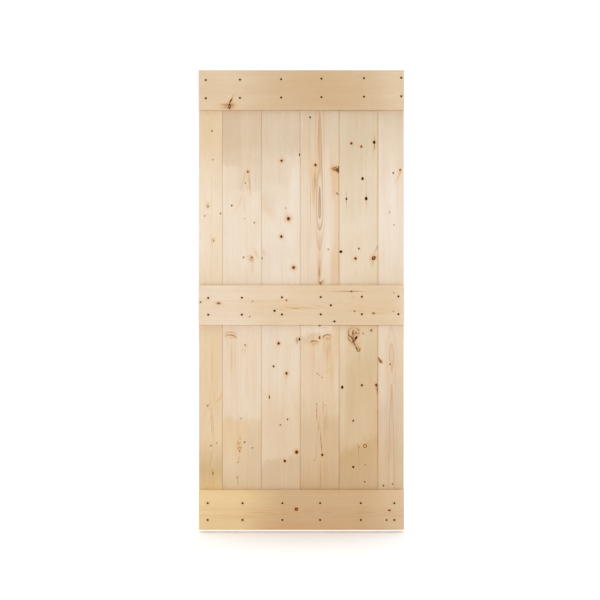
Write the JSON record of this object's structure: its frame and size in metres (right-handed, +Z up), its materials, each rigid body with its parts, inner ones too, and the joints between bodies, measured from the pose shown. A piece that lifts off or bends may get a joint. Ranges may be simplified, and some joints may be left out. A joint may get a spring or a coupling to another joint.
{
  "type": "barn door",
  "caption": "Sliding barn door slab: upright V-joint tongue-and-groove pine planks screwed to top, mid and bottom face rails.",
  "frame": {"origin": "middle of the slab's bottom edge, halfway through its thickness", "axes": "+Z up along the planks, +X to the right as seen from the front, -Y out of the front, where the rails are"},
  "size_m": [0.953, 0.035, 2.134],
  "materials": {
    "plank_wood": "planed and sanded knotty pine, unfinished",
    "rail_wood": "planed and sanded knotty pine, unfinished",
    "screw_steel": "dark phosphate coating, dry and matt"
  },
  "bodies": {
    "root": {"left_plank": "plank_wood", "second_plank": "plank_wood", "third_plank": "plank_wood", "fourth_plank": "plank_wood", "fifth_plank": "plank_wood", "right_plank": "plank_wood", "top_rail": "rail_wood", "mid_rail": "rail_wood", "bottom_rail": "rail_wood", "top_rail_screws": "screw_steel", "mid_rail_screws": "screw_steel", "bottom_rail_screws": "screw_steel"}
  },
  "joints": []
}
